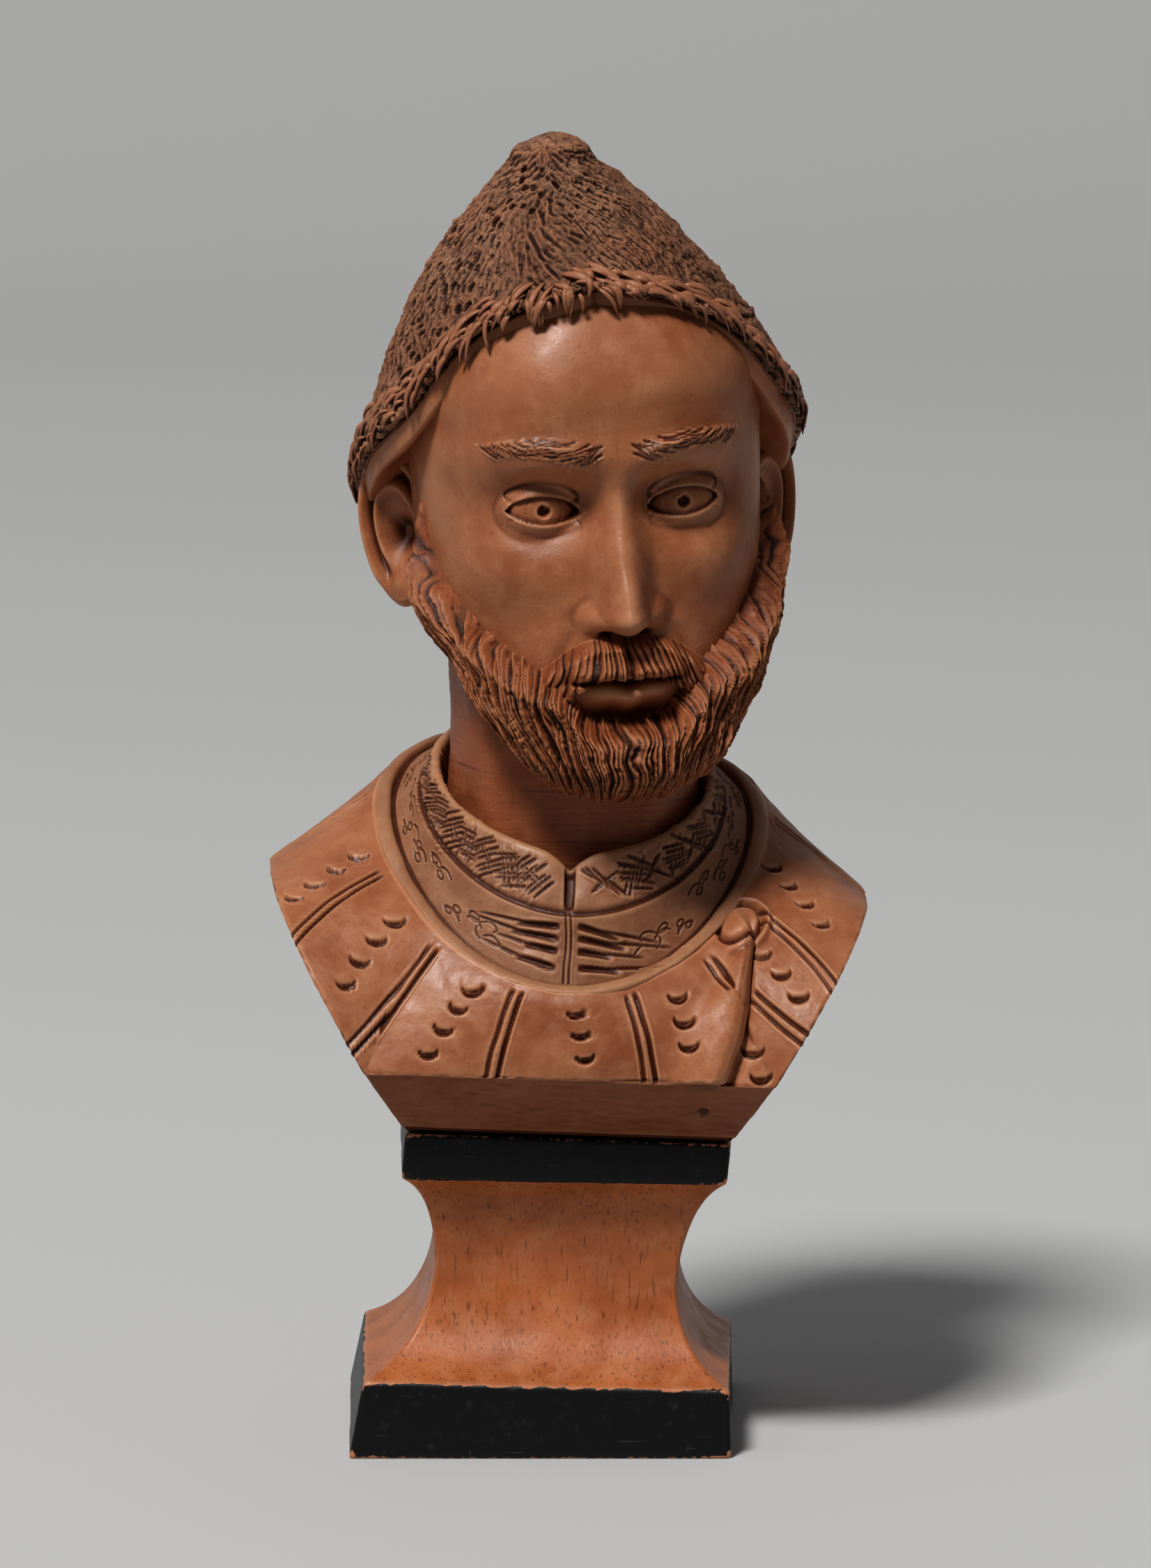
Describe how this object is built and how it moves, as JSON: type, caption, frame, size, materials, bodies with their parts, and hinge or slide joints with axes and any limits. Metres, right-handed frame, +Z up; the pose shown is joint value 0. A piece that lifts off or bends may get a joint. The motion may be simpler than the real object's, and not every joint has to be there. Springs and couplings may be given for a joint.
{
  "type": "terracotta bust",
  "caption": "Small terracotta bust of a bearded figure in a conical fur cap, collar and gorget, on a waisted square pedestal with black painted bands.",
  "frame": {"origin": "centre of the pedestal's underside, on the surface that it stands on", "axes": "+Z up, the bust's face looks along -Y, +X to the viewer's right"},
  "size_m": [0.0747, 0.0611, 0.1637],
  "materials": {
    "burnished_terracotta": "fired red-brown clay, hand modelled, burnished to a dull sheen, browner on the cap",
    "pedestal_terracotta": "orange fired clay, matt, with black cold paint on the plinth and the top band"
  },
  "bodies": {
    "root": {"bust": "burnished_terracotta", "pedestal": "pedestal_terracotta"}
  },
  "joints": []
}
